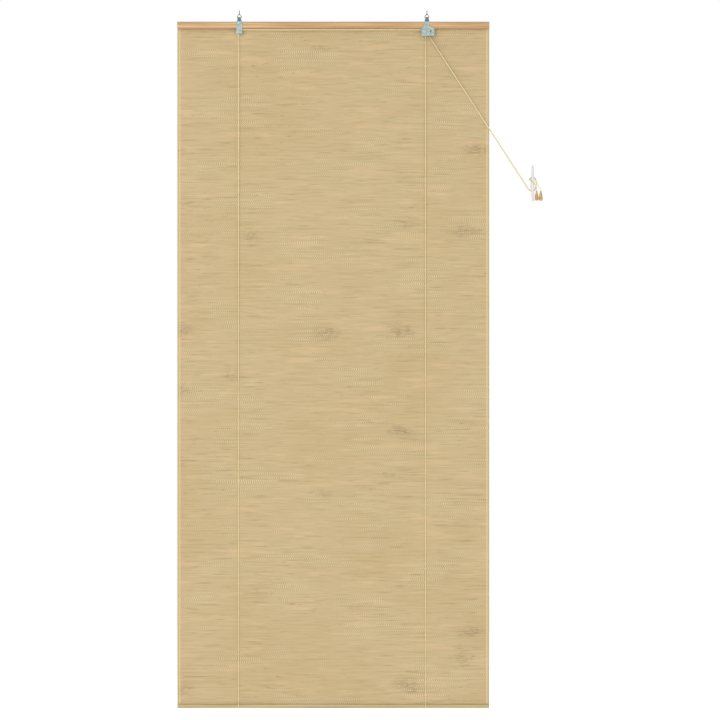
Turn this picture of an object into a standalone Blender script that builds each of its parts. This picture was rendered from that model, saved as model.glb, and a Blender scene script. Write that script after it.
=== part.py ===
"""Roll-up bamboo blind: a slatted mat under a wooden headrail, hung from two ceiling hooks.

Two lift cords run down the back of the mat, under its foot and up its front, over sheaves in
the two hangers, and both leave the right-hand hanger for a cleat on the wall.
Metres, +Z up, +X to the right of somebody facing the blind, -Y towards them.
The origin lies at ceiling height, midway between the two hooks.
"""

import math

import bmesh
import bpy
from mathutils import Matrix, Vector

# Driving dimensions.
MM = 0.001
BLIND_W = 1.000
BLIND_H = 2.200
HEAD_TOP = -0.030
GAP = 0.3 * MM

# Headrail and foot batten.
HEAD_H = 22 * MM
HEAD_BACK = -3.0 * MM
HEAD_FRONT = -13.0 * MM
FOOT_H = 12 * MM
FOOT_T = 5 * MM

# Mat: one fixed strip, one long strip that shortens, a leader and the strips that wind up.
MAT_T = 2.4 * MM
MAT_HEAD_H = 50 * MM
WOUND_COUNT = 16
WOUND_SHORTEST = 44 * MM
WOUND_STEP = 2 * MM
LEADER_H = 78 * MM
HINGE_OUT = 0.15 * MM

# Hooks, rings and hangers.
HOOK_X = 0.300
RING_Y = -7.5 * MM
HOOK_WIRE = 1.0 * MM
HOOK_BOWL = 3.0 * MM
HOOK_BOWL_Z = -4.5 * MM
THREAD_H = 8 * MM
RING_WIRE = 0.9 * MM
RING_APEX_Z = -5.4 * MM
RING_BASE_Z = -17.0 * MM
RING_HALF_W = 7.1 * MM
SHEET_T = 1.2 * MM
HANGER_LEFT_DROP = 39 * MM
HANGER_RIGHT_DROP = 46 * MM
SCREW_DROP = 11 * MM

# Sheaves and the cord lock.
CORD_R = 1.1 * MM
SHEAVE_PITCH_R = 4.5 * MM
SHEAVE_R = 5.4 * MM
SHEAVE_ROOT_R = 3.0 * MM
SHEAVE_W = 3.8 * MM
SHEAVE_BORE_R = 1.6 * MM
AXLE_R = 1.3 * MM
AXLE_DROP = 30.5 * MM
FRONT_CORD_Y = -10.2 * MM
REAR_CORD_Y = -6.0 * MM
GUIDE_X = HOOK_X + 9.3 * MM
GUIDE_DROP = 41.0 * MM
GUIDE_R = 3.2 * MM
LOCK_X = HOOK_X + 15.0 * MM
LOCK_DROP = 28.0 * MM
LOCK_R = 3.3 * MM
LOCK_TRAVEL = 6.0 * MM
LOCK_SLOPE = math.radians(45)

# Cleat on the wall.
CLEAT_X = 0.639
CLEAT_Z = HEAD_TOP - 0.518
CLEAT_BACK = 16 * MM
CLEAT_H = 113 * MM
CLEAT_W = 11 * MM
POST_H = 17 * MM

# Worked out from the sizes above.
MAT_FRONT = -MAT_T / 2
MAT_BACK = MAT_T / 2
FOOT_Z = HEAD_TOP - BLIND_H
HINGE_Y = MAT_FRONT - HINGE_OUT
WOUND = [WOUND_SHORTEST + WOUND_STEP * (WOUND_COUNT - 1 - i) for i in range(WOUND_COUNT)]
FIRST_HINGE_Z = FOOT_Z + sum(WOUND)
LEADER_TOP = FIRST_HINGE_Z + LEADER_H
MAT_HEAD_FOOT = HEAD_TOP - MAT_HEAD_H
FRONT_SHEET = (HEAD_FRONT - GAP - SHEET_T, HEAD_FRONT - GAP)
REAR_SHEET = (HEAD_BACK + GAP, HEAD_BACK + GAP + SHEET_T)
AXLE_Z = HEAD_TOP - AXLE_DROP
SWING_AXIS = Vector((0, RING_Y, RING_APEX_Z))


# ---------------------------------------------------------------- materials
def material(name, rgb, roughness, metallic=0.0):
    made = bpy.data.materials.new(name)
    made.use_nodes = True
    shader = made.node_tree.nodes["Principled BSDF"]
    shader.inputs["Base Color"].default_value = (*rgb, 1)
    shader.inputs["Roughness"].default_value = roughness
    shader.inputs["Metallic"].default_value = metallic
    return made


# ---------------------------------------------------------------- shapes
def finish(name, mesh, look, origin=(0, 0, 0), parent=None, round_piece=False):
    """Makes an object whose own origin is at the given world point."""
    mesh.transform(Matrix.Translation(-Vector(origin)))
    mesh.materials.append(look)
    if round_piece:
        mesh.shade_smooth()
        mesh.set_sharp_from_angle(angle=math.radians(35))
    made = bpy.data.objects.new(name, mesh)
    bpy.context.scene.collection.objects.link(made)
    made.location = origin
    if parent:
        made.parent = parent
        made.location = Vector(origin) - parent.location
    return made


def mesh_from(bm, name):
    bmesh.ops.recalc_face_normals(bm, faces=bm.faces)
    mesh = bpy.data.meshes.new(name)
    bm.to_mesh(mesh)
    bm.free()
    return mesh


def box(name, low, high, look, **placing):
    bm = bmesh.new()
    bmesh.ops.create_cube(bm, size=1)
    middle = (Vector(low) + Vector(high)) / 2
    size = Vector(high) - Vector(low)
    bmesh.ops.transform(bm, matrix=Matrix.Translation(middle) @ Matrix.Diagonal((*size, 1)), verts=bm.verts)
    return finish(name, mesh_from(bm, name), look, **placing)


def prism(name, outline, axis, low, high, look, **placing):
    """Extrudes an outline along X, whose points are then (y, z), or along Y, when they are (x, z)."""
    bm = bmesh.new()
    if axis == "X":
        corners = [bm.verts.new((low, y, z)) for y, z in outline]
        step = Vector((high - low, 0, 0))
    else:
        corners = [bm.verts.new((x, low, z)) for x, z in outline]
        step = Vector((0, high - low, 0))
    face = bm.faces.new(corners)
    made = bmesh.ops.extrude_face_region(bm, geom=[face])["geom"]
    bmesh.ops.translate(bm, vec=step, verts=[v for v in made if isinstance(v, bmesh.types.BMVert)])
    return finish(name, mesh_from(bm, name), look, **placing)


def turned(name, profile, centre, look, axis="Y", sides=28, **placing):
    """Turns (radius, distance along the axis) points into a closed body; a profile off the axis gives a ring."""
    bm = bmesh.new()
    rings = []
    for radius, along in profile:
        if radius == 0:
            rings.append([bm.verts.new((0, 0, along))])
            continue
        angles = [2 * math.pi * k / sides for k in range(sides)]
        rings.append([bm.verts.new((radius * math.cos(a), radius * math.sin(a), along)) for a in angles])
    pairs = list(zip(rings, rings[1:]))
    if len(rings[0]) > 1 and len(rings[-1]) > 1:
        pairs.append((rings[-1], rings[0]))
    for first, second in pairs:
        for k in range(sides):
            corners = [first[k % len(first)], first[(k + 1) % len(first)]]
            corners += [second[(k + 1) % len(second)], second[k % len(second)]]
            bm.faces.new(list(dict.fromkeys(corners)))
    turn = Matrix.Rotation(math.radians(-90), 4, "X") if axis == "Y" else Matrix.Identity(4)
    bmesh.ops.transform(bm, matrix=Matrix.Translation(centre) @ turn, verts=bm.verts)
    return finish(name, mesh_from(bm, name), look, round_piece=True, **placing)


def tube(name, points, radius, look, parent=None, closed=False, resolution=2):
    """A round wire or cord along points in world metres."""
    curve = bpy.data.curves.new(name, "CURVE")
    curve.dimensions = "3D"
    curve.bevel_depth = radius
    curve.bevel_resolution = resolution
    curve.use_fill_caps = not closed
    spline = curve.splines.new("POLY")
    spline.points.add(len(points) - 1)
    shift = parent.location if parent else Vector()
    for slot, point in zip(spline.points, points):
        slot.co = (*(Vector(point) - shift), 1)
    spline.use_cyclic_u = closed
    curve.materials.append(look)
    made = bpy.data.objects.new(name, curve)
    bpy.context.scene.collection.objects.link(made)
    made.parent = parent
    return made


def cut(target, cutter, operation="DIFFERENCE"):
    """Cuts target with an object that is left out of the build."""
    cutter.hide_render = True
    cutter.display_type = "WIRE"
    change = target.modifiers.new(cutter.name, "BOOLEAN")
    change.operation = operation
    change.object = cutter


def drill(target, name, radius, x, z, low, high):
    """A round hole along Y."""
    profile = [(0, low), (radius, low), (radius, high), (0, high)]
    cut(target, turned(name, profile, (x, 0, z), STEEL, sides=20))


def arc(centre, radius, start, end, steps):
    """Points (u, v) round a circle, from one angle to another in degrees."""
    angles = [math.radians(start + (end - start) * k / steps) for k in range(steps + 1)]
    return [(centre[0] + radius * math.cos(a), centre[1] + radius * math.sin(a)) for a in angles]


def smooth(route, spacing):
    """Points along a Catmull-Rom curve through a route, about the given distance apart."""
    ends = [2 * route[0] - route[1], *route, 2 * route[-1] - route[-2]]
    points = []
    for k in range(1, len(ends) - 2):
        a, b, c, d = ends[k - 1 : k + 3]
        steps = max(1, round((c - b).length / spacing))
        for n in range(steps):
            t = n / steps
            along = 2 * b + (c - a) * t + (2 * a - 5 * b + 4 * c - d) * t**2 + (3 * b - a - 3 * c + d) * t**3
            points.append(0.5 * along)
    points.append(route[-1])
    return points


# ---------------------------------------------------------------- headrail and foot
def headrail(pivot):
    low = (-BLIND_W / 2, HEAD_FRONT, HEAD_TOP - HEAD_H)
    rail = box("headrail", low, (BLIND_W / 2, HEAD_BACK, HEAD_TOP), RED_WOOD, parent=pivot)
    for side, x in SIDES:
        drill(rail, f"rail_hole_{side}", 1.8 * MM, x, HEAD_TOP - SCREW_DROP, HEAD_FRONT - 1 * MM, -4.5 * MM)
    return rail


def hanger_screw(side, x, pivot):
    """Round-headed wood screw through the hanger's front sheet into the headrail."""
    front = FRONT_SHEET[0] - GAP
    profile = [(0, front - 1.7 * MM), (1.8 * MM, front - 1.5 * MM), (2.9 * MM, front - 0.7 * MM)]
    profile += [(3.1 * MM, front), (1.4 * MM, front), (1.4 * MM, -6.5 * MM), (0, -5 * MM)]
    turned(f"hanger_screw_{side}", profile, (x, 0, HEAD_TOP - SCREW_DROP), STEEL, sides=20, parent=pivot)


# ---------------------------------------------------------------- mat
def mat_strip(name, top, foot, **placing):
    """One strip of the slatted mat, as a plain slab of its thickness."""
    return box(name, (-BLIND_W / 2, MAT_FRONT, foot), (BLIND_W / 2, MAT_BACK, top), BAMBOO, **placing)


def mat(pivot):
    mat_strip("mat_head", HEAD_TOP - GAP, MAT_HEAD_FOOT, parent=pivot)
    mat_strip("mat_upper", MAT_HEAD_FOOT - GAP, LEADER_TOP + GAP, parent=pivot)
    mat_strip("mat_leader", LEADER_TOP, FIRST_HINGE_Z + GAP / 2, parent=pivot)
    top = FIRST_HINGE_Z
    for number, length in enumerate(WOUND, start=1):
        hinge = Vector((0, HINGE_Y, top))
        foot = top - length
        mat_strip(f"mat_strip_{number:02d}", top - GAP / 2, foot + GAP / 2, origin=hinge, parent=pivot)
        top = foot
    low = (-BLIND_W / 2, MAT_FRONT - GAP - FOOT_T, FOOT_Z + GAP / 2)
    high = (BLIND_W / 2, MAT_FRONT - GAP, FOOT_Z + FOOT_H)
    box("foot_batten", low, high, PALE_WOOD, origin=hinge, parent=pivot)


def staples(pivot):
    """Wire staples that hold the mat to the back of the headrail; each is a flat U pressed against the mat."""
    z = HEAD_TOP - 11 * MM
    for number in range(5):
        x = -0.44 + 0.22 * number
        low = (x - 5 * MM, MAT_BACK + GAP, z - 0.6 * MM)
        high = (x + 5 * MM, MAT_BACK + GAP + 0.8 * MM, z + 0.6 * MM)
        box(f"mat_staple_{number + 1}", low, high, STEEL, parent=pivot)


# ---------------------------------------------------------------- hooks, rings and hangers
def hook(side, x):
    """Screw hook: a threaded shank above the ceiling line, and a bowl in the YZ plane that holds the ring."""
    centre_y, centre_z = RING_Y, HOOK_BOWL_Z
    shank = [(centre_y + HOOK_BOWL, z * MM) for z in (8, 5, 0.5, -2)]
    bowl = arc((centre_y, centre_z), HOOK_BOWL, 0, -180, 12)
    tip = [(centre_y - HOOK_BOWL, -2.2 * MM)]
    points = [Vector((x, y, z)) for y, z in shank + bowl + tip]
    tube(f"screw_hook_{side}", points, HOOK_WIRE, STEEL)


def ring(side, x, pivot):
    """Closed triangular wire ring: its apex lies in the hook, its base in the hanger's folded top."""
    corner_r = 2.0 * MM
    slope = math.degrees(math.atan2(RING_APEX_Z - RING_BASE_Z, RING_HALF_W))
    low_z = RING_BASE_Z + corner_r
    inner = RING_HALF_W - corner_r
    outline = arc((x + inner, low_z), corner_r, -90, 90 - slope, 6)
    outline += arc((x, RING_APEX_Z - corner_r), corner_r, 90 - slope, 90 + slope, 6)
    outline += arc((x - inner, low_z), corner_r, 90 + slope, 270, 6)
    points = [Vector((px, RING_Y, pz)) for px, pz in outline]
    tube(f"hanging_ring_{side}", points, RING_WIRE, STEEL, parent=pivot, closed=True)


def sheet_section(foot):
    """The hanger's section in the YZ plane: two legs that straddle the headrail and meet over the ring's wire."""
    top = HEAD_TOP
    fold = arc((RING_Y, RING_BASE_Z), 2.4 * MM, 200, -20, 12)
    outer = [(FRONT_SHEET[0], foot), (FRONT_SHEET[0], top - 0.5 * MM), *fold]
    outer += [(REAR_SHEET[1], top - 0.5 * MM), (REAR_SHEET[1], foot)]
    inner = [(REAR_SHEET[0], foot), (REAR_SHEET[0], top + GAP), (RING_Y, top + 10 * MM)]
    return outer + inner + [(FRONT_SHEET[1], top + GAP), (FRONT_SHEET[1], foot)]


def tongue(x):
    """The narrow top of a hanger's front outline, as (x, z) points from right to left."""
    half_top, half_foot = 4.3 * MM, 8 * MM
    high = RING_BASE_Z + 3 * MM
    return [(x + half_foot, HEAD_TOP), (x + half_top, high), (x - half_top, high), (x - half_foot, HEAD_TOP)]


def hanger(side, x, shape, foot, pivot):
    body = prism(f"hanger_{side}", sheet_section(foot - 1 * MM), "X", x - 30 * MM, x + 30 * MM, STEEL, parent=pivot)
    cut(body, prism(f"hanger_outline_{side}", shape, "Y", -20 * MM, 5 * MM, STEEL), "INTERSECT")
    fold_hole = [(0, -12 * MM), (RING_WIRE + GAP, -12 * MM), (RING_WIRE + GAP, 12 * MM), (0, 12 * MM)]
    hole = turned(f"fold_hole_{side}", fold_hole, (0, 0, 0), STEEL, axis="Z", sides=20)
    hole.rotation_euler = (0, math.radians(90), 0)
    hole.location = (x, RING_Y, RING_BASE_Z)
    cut(body, hole)
    drill(body, f"screw_hole_{side}", 1.7 * MM, x, HEAD_TOP - SCREW_DROP, FRONT_SHEET[0] - 1 * MM, HEAD_FRONT)
    return body


def hanger_left(pivot):
    """Plain strap, 19 mm wide, with rounded lower corners."""
    x, half = -HOOK_X - 1 * MM, 9.5 * MM
    foot = HEAD_TOP - HANGER_LEFT_DROP
    shape = arc((x + half - 3 * MM, foot + 3 * MM), 3 * MM, -90, 0, 4)
    shape += [(x + half, HEAD_TOP - 3 * MM), *tongue(x), (x - half, HEAD_TOP - 3 * MM)]
    shape += arc((x - half + 3 * MM, foot + 3 * MM), 3 * MM, 180, 270, 4)
    body = hanger("left", x, shape, foot, pivot)
    drill(body, "axle_hole_left", AXLE_R + GAP, SHEAVE_X["left"], AXLE_Z, -16 * MM, 0)


def hanger_right(pivot):
    """Narrow neck over a wide plate that holds both sheaves, the guide pin and the cord lock's slot."""
    x = HOOK_X
    left, right = x - 17.5 * MM, x + 24 * MM
    foot = HEAD_TOP - HANGER_RIGHT_DROP
    shape = arc((right - 3 * MM, foot + 3 * MM), 3 * MM, -90, 0, 4)
    shape += arc((right - 3 * MM, HEAD_TOP - 22 * MM), 3 * MM, 0, 60, 4)
    # The neck runs further down on the right, to a square shoulder.
    shape += [(x + 8 * MM, HEAD_TOP - 16.5 * MM), *tongue(x), (x - 8 * MM, HEAD_TOP - 9 * MM)]
    shape += arc((left + 3 * MM, HEAD_TOP - 22 * MM), 3 * MM, 120, 180, 4)
    shape += arc((left + 3 * MM, foot + 3 * MM), 3 * MM, 180, 270, 4)
    body = hanger("right", x, shape, foot, pivot)
    drill(body, "axle_hole_right", AXLE_R + GAP, SHEAVE_X["right"], AXLE_Z, -16 * MM, 0)
    drill(body, "guide_hole", AXLE_R + GAP, GUIDE_X, HEAD_TOP - GUIDE_DROP, -16 * MM, 0)
    reach = LOCK_TRAVEL + GAP
    down = Vector((-math.cos(LOCK_SLOPE), -math.sin(LOCK_SLOPE)))
    start, end = Vector((LOCK_X, HEAD_TOP - LOCK_DROP)), Vector((LOCK_X, HEAD_TOP - LOCK_DROP)) + reach * down
    slope = 180 + math.degrees(LOCK_SLOPE)
    outline = arc(start, AXLE_R + GAP, slope - 270, slope - 90, 8) + arc(end, AXLE_R + GAP, slope - 90, slope + 90, 8)
    cut(body, prism("lock_slot", outline, "Y", -16 * MM, 0, STEEL))


def axle(name, x, z, pivot, barrel=0.0):
    """Rivet through both legs of a hanger, with a round head in front; a barrel makes it a guide pin."""
    front, rear = FRONT_SHEET[0] - GAP, REAR_SHEET[1]
    profile = [(0, front - 0.9 * MM), (1.5 * MM, front - 0.9 * MM), (2.3 * MM, front), (AXLE_R, front)]
    if barrel:
        low, high = FRONT_SHEET[1] + GAP, REAR_SHEET[0] - GAP
        profile += [(AXLE_R, low), (barrel, low), (barrel, high), (AXLE_R, high)]
    profile += [(AXLE_R, rear), (0, rear)]
    turned(name, profile, (x, 0, z), STEEL, sides=24, parent=pivot)


# ---------------------------------------------------------------- sheaves and cord lock
def sheave(name, x, y, pivot):
    """Grooved sheave on a plain bore."""
    half, wall = SHEAVE_W / 2, 0.45 * MM
    profile = [(SHEAVE_BORE_R, -half), (SHEAVE_R, -half), (SHEAVE_R, -half + wall)]
    profile += [(SHEAVE_ROOT_R, -0.9 * MM), (SHEAVE_ROOT_R, 0.9 * MM)]
    profile += [(SHEAVE_R, half - wall), (SHEAVE_R, half), (SHEAVE_BORE_R, half)]
    turned(name, profile, (x, y, AXLE_Z), BRASS, origin=(x, y, AXLE_Z), parent=pivot)


def lock_roller(pivot):
    """Roller whose thin ends run in the slanted slots; it drops against the cords to hold them."""
    inner = (FRONT_SHEET[1] + 2 * GAP, REAR_SHEET[0] - 2 * GAP)
    front, rear = FRONT_SHEET[0] - 0.6 * MM, REAR_SHEET[1]
    profile = [(0, front), (AXLE_R, front), (AXLE_R, inner[0]), (LOCK_R, inner[0]), (LOCK_R, inner[1])]
    profile += [(AXLE_R, inner[1]), (AXLE_R, rear), (0, rear)]
    place = (LOCK_X, 0, HEAD_TOP - LOCK_DROP)
    turned("lock_roller", profile, place, BRASS, sides=24, origin=place, parent=pivot)


# ---------------------------------------------------------------- lift cords
def lift_route(x_side, y):
    """From the knot behind the headrail, down the back, round the foot and up the front, in the YZ plane."""
    back, front = MAT_BACK + CORD_R + GAP, MAT_FRONT - CORD_R - GAP
    turn_front = MAT_FRONT - GAP - FOOT_T - GAP - CORD_R
    route = [(back, HEAD_TOP - 20 * MM), (back, LEADER_TOP), (back, FOOT_Z + 6 * MM), (back, FOOT_Z + 1.5 * MM)]
    route += arc((back - 2.2 * MM, FOOT_Z + 0.8 * MM), 2.2 * MM, 0, -90, 4)
    route += arc((turn_front + 2.2 * MM, FOOT_Z + 0.8 * MM), 2.2 * MM, -90, -180, 4)
    route += [(turn_front, FOOT_Z + FOOT_H), (turn_front + 0.8 * MM, FOOT_Z + FOOT_H + 8 * MM)]
    route += [(front - 1 * MM, FOOT_Z + 34 * MM), (front, FOOT_Z + 50 * MM), (front, LEADER_TOP - 40 * MM)]
    route += [(y, HEAD_TOP - 0.12), (y, AXLE_Z - 4 * MM)]
    return [Vector((x_side, py, pz)) for py, pz in route]


def round_sheave(x, y, start, end, steps=8):
    """Points over the top of a sheave, from one angle to another."""
    return [Vector((px, y, pz)) for px, pz in arc((x, AXLE_Z), SHEAVE_PITCH_R, start, end, steps)]


def guide_exit(y):
    """Round the guide pin and out of the right-hand hanger's foot."""
    radius = GUIDE_R + CORD_R + GAP
    bend = arc((GUIDE_X, HEAD_TOP - GUIDE_DROP), radius, 180, 180 + EXIT_TURN, 4)
    out = Vector((bend[-1][0], y, bend[-1][1])) + 3.0 * MM * EXIT_WAY
    return [Vector((px, y, pz)) for px, pz in bend] + [out]


def lift_cords(pivot):
    left, right = SHEAVE_X["left"], SHEAVE_X["right"]
    route = lift_route(left - SHEAVE_PITCH_R, FRONT_CORD_Y) + round_sheave(left, FRONT_CORD_Y, 180, 90)
    route += round_sheave(right, FRONT_CORD_Y, 90, 0) + guide_exit(FRONT_CORD_Y)
    tube("lift_cord_left", route, CORD_R, COTTON, parent=pivot)
    route = lift_route(right - SHEAVE_PITCH_R, REAR_CORD_Y) + round_sheave(right, REAR_CORD_Y, 180, 0, 12)
    route += guide_exit(REAR_CORD_Y)
    tube("lift_cord_right", route, CORD_R, COTTON, parent=pivot)
    for side, x in (("left", left - SHEAVE_PITCH_R), ("right", right - SHEAVE_PITCH_R)):
        low = (x - 2.2 * MM, MAT_BACK + GAP, HEAD_TOP - 19.7 * MM)
        box(f"cord_knot_{side}", low, (x + 2.2 * MM, MAT_BACK + 4.2 * MM, HEAD_TOP - 15 * MM), COTTON, parent=pivot)


# ---------------------------------------------------------------- cleat, pull cords and acorns
def cleat():
    """Two-horned cleat: an oval foot on the wall, a short post and horns that lean a little away from the wall."""
    front = -12 * MM
    half = CLEAT_H / 2
    side = [(CLEAT_BACK, 15), (12 * MM, 15), (12 * MM, 8.5), (-3 * MM, 8.5), (-5 * MM, 14), (-8.5 * MM, 56.5)]
    side += [(-12.5 * MM, 56.5), (front, 14), (front - 0.5 * MM, 0)]
    outline = [(y, CLEAT_Z + h * (MM if h < 50 else half / 56.5)) for y, h in side]
    outline += [(y, 2 * CLEAT_Z - z) for y, z in reversed(outline[:-1])]
    body = prism("cleat", outline, "X", CLEAT_X - CLEAT_W / 2, CLEAT_X + CLEAT_W / 2, WHITE_PLASTIC)
    soften = body.modifiers.new("soften", "BEVEL")
    soften.width = 1.2 * MM
    soften.segments = 2
    soften.limit_method = "ANGLE"
    for end, sign in (("upper", 1), ("lower", -1)):
        z = CLEAT_Z + sign * 11.7 * MM
        drill(body, f"cleat_hole_{end}", 1.6 * MM, CLEAT_X, z, 6 * MM, CLEAT_BACK + 5 * MM)
        head = 12 * MM - GAP
        profile = [(0, head - 1.3 * MM), (1.7 * MM, head - 1.2 * MM), (2.4 * MM, head), (1.3 * MM, head)]
        profile += [(1.3 * MM, 26 * MM), (0, 30 * MM)]
        turned(f"cleat_screw_{end}", profile, (CLEAT_X, 0, z), STEEL, sides=20)


def pull_route(y, aside, tail):
    """From the hanger's foot to the cleat, once round its horns as a figure of eight, and down to an acorn.

    Each stop is a place on the loop and the way in which the second cord lies beside the first, both (x, z)
    seen from the front; tail is the point where the acorn's top lies."""
    stops = [
        ((-13.6, -3.0, -15.6), (-0.8, -0.6)), ((-7.0, 2.0, -21.0), (-0.2, -1.0)), ((0.0, 3.5, -22.6), (0.0, -1.0)),
        ((7.0, 1.0, -18.0), (0.6, -0.8)), ((9.0, -5.5, -12.0), (1.0, 0.0)), ((8.6, -12.4, -7.0), (1.0, 0.2)),
        ((5.0, -14.8, -2.5), (0.8, 0.6)), ((0.0, -14.9, 1.5), (0.8, 0.6)), ((-6.5, -14.9, 6.5), (0.8, 0.6)),
        ((-11.0, -11.8, 10.5), (1.0, 0.2)), ((-11.2, -5.0, 13.5), (1.0, 0.0)), ((-7.5, 1.0, 18.5), (0.6, -0.8)),
        ((0.0, 3.5, 22.6), (0.0, -1.0)), ((7.6, 1.0, 18.0), (-0.6, -0.8)), ((11.8, -5.0, 10.0), (-1.1, 0.0)),
        ((15.5, -9.0, -4.0), (-1.4, 0.0)),
    ]
    route = []
    for (px, py, pz), (side_x, side_z) in stops:
        route.append(Vector((CLEAT_X, 0, CLEAT_Z)) + Vector((px + aside * side_x, py, pz + aside * side_z)) * MM)
    start = guide_exit(y)[-1] + 0.3 * MM * EXIT_WAY
    straight = [start.lerp(route[0], share) for share in (0.33, 0.66)]
    bend = start.lerp(route[0], 0.985)
    return [start, *straight, *smooth([bend, *route, tail + Vector((0, 0, 6 * MM)), tail], 4.0 * MM)]


def acorn(name, top):
    """Turned wooden pull, narrow at the top where the cord enters, round and full at the foot."""
    profile = [(0, 0), (2.6, 0), (3.2, -1.5), (2.9, -4), (3.4, -6), (4.6, -11), (5.8, -17), (6.4, -23)]
    profile += [(6.3, -26.5), (5.2, -29), (3.0, -30.4), (0, -30.8)]
    turned(name, [(r * MM, h * MM) for r, h in profile], top, TURNED_WOOD, axis="Z", sides=24)


def pull_cords():
    """The front cord ends at the outer acorn, and the rear cord lies beside it, inside, all the way."""
    tails = {
        "front": Vector((CLEAT_X + 25.4 * MM, -14.0 * MM, CLEAT_Z - 25 * MM)),
        "rear": Vector((CLEAT_X + 12.4 * MM, -9.5 * MM, CLEAT_Z - 24 * MM)),
    }
    for name, y, aside in (("front", FRONT_CORD_Y, 0.0), ("rear", REAR_CORD_Y, 2.6)):
        tube(f"pull_cord_{name}", pull_route(y, aside, tails[name]), CORD_R, COTTON)
        acorn(f"acorn_{name}", tails[name] - Vector((0, 0, GAP)))


# ---------------------------------------------------------------- the whole blind
for old in list(bpy.data.objects):
    bpy.data.objects.remove(old)

RED_WOOD = material("reddish_wood", (0.53, 0.34, 0.20), 0.55)
PALE_WOOD = material("pale_wood", (0.62, 0.45, 0.26), 0.6)
BAMBOO = material("bamboo_mat", (0.60, 0.46, 0.26), 0.7)
TURNED_WOOD = material("turned_wood", (0.60, 0.36, 0.16), 0.45)
COTTON = material("cotton_cord", (0.72, 0.58, 0.34), 0.85)
STEEL = material("galvanised_steel", (0.48, 0.53, 0.57), 0.4, 0.9)
BRASS = material("brass", (0.70, 0.52, 0.25), 0.35, 1.0)
WHITE_PLASTIC = material("white_plastic", (0.78, 0.78, 0.79), 0.4)

SIDES = (("left", -HOOK_X - 1 * MM), ("right", HOOK_X))
SHEAVE_X = {"left": -HOOK_X + 0.6 * MM, "right": HOOK_X + 0.2 * MM}
EXIT_TURN = 33.0
EXIT_WAY = Vector((math.sin(math.radians(EXIT_TURN)), 0, -math.cos(math.radians(EXIT_TURN))))


def build():
    pivot = bpy.data.objects.new("swing_pivot", None)
    pivot.location = SWING_AXIS
    bpy.context.scene.collection.objects.link(pivot)
    headrail(pivot)
    mat(pivot)
    staples(pivot)
    for side, x in SIDES:
        hanger_screw(side, x, pivot)
        hook(side, x)
        ring(side, x, pivot)
    hanger_left(pivot)
    hanger_right(pivot)
    axle("sheave_axle_left", SHEAVE_X["left"], AXLE_Z, pivot)
    axle("sheave_axle_right", SHEAVE_X["right"], AXLE_Z, pivot)
    axle("guide_pin", GUIDE_X, HEAD_TOP - GUIDE_DROP, pivot, barrel=GUIDE_R)
    sheave("sheave_left", SHEAVE_X["left"], FRONT_CORD_Y, pivot)
    sheave("sheave_right_front", SHEAVE_X["right"], FRONT_CORD_Y, pivot)
    sheave("sheave_right_rear", SHEAVE_X["right"], REAR_CORD_Y, pivot)
    lock_roller(pivot)
    lift_cords(pivot)
    cleat()
    pull_cords()


build()
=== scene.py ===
"""Visual model of a roll-up bamboo blind: slatted mat, wooden headrail, hangers, cords and wall cleat."""

import math

import bpy
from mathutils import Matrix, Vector


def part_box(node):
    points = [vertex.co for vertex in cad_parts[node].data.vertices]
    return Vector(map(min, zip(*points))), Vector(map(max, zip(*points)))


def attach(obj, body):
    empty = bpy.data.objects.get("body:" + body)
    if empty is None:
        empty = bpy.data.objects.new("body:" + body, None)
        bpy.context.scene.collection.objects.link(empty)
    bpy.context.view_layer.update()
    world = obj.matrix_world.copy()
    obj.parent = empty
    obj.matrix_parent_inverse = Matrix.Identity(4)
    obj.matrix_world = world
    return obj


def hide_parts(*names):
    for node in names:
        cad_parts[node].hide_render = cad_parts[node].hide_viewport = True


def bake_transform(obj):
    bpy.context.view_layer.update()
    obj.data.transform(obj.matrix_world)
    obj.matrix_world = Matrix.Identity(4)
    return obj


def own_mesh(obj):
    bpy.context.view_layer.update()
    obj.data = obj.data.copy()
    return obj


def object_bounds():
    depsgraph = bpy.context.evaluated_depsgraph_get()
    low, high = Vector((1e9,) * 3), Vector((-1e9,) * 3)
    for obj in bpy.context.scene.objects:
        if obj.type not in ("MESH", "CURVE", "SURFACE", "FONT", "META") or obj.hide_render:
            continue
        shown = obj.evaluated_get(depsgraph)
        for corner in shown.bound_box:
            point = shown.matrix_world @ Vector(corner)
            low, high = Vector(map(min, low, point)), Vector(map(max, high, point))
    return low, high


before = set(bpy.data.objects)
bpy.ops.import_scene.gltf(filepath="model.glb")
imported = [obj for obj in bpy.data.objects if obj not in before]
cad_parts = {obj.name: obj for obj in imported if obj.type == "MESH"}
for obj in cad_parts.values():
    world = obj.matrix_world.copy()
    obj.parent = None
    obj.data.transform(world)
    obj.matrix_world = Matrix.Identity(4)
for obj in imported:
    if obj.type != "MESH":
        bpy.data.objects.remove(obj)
cad_bounds = [list(corner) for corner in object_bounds()]

MM = 0.001
SLAT_PITCH = 3.0 * MM
SLAT_EDGE = 0.3 * MM
STITCH_PITCH = 6.8 * MM
STITCH_SPREAD = 6.28  # radians: each row of stitches starts anywhere within one stitch
STRIP_STEP = 0.73  # from one strip to the next, in units of the noise that gives each strip its own tone
MAT_EDGE = 0.5  # half the mat's width
CORD_R = 1.1 * MM
CORD_GAP = 0.3 * MM  # between a cord and what it lies against
STRAND_PITCH = 1.4 * MM
TOOL_RING = 0.8 * MM
STRIPS = sorted(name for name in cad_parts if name.startswith("mat_strip_"))
HEAD_LOW, HEAD_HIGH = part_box("headrail")
HEAD_TOP = HEAD_HIGH.z
LEADER_LOW, LEADER_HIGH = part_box("mat_leader")
UPPER_LOW, UPPER_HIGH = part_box("mat_upper")


# ---------------------------------------------------------------- materials
def colour(hex_value):
    """An sRGB hex value as a linear colour."""
    channels = [int(hex_value[k : k + 2], 16) / 255 for k in (1, 3, 5)]
    return (*[c / 12.92 if c <= 0.04045 else ((c + 0.055) / 1.055) ** 2.4 for c in channels], 1.0)


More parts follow.
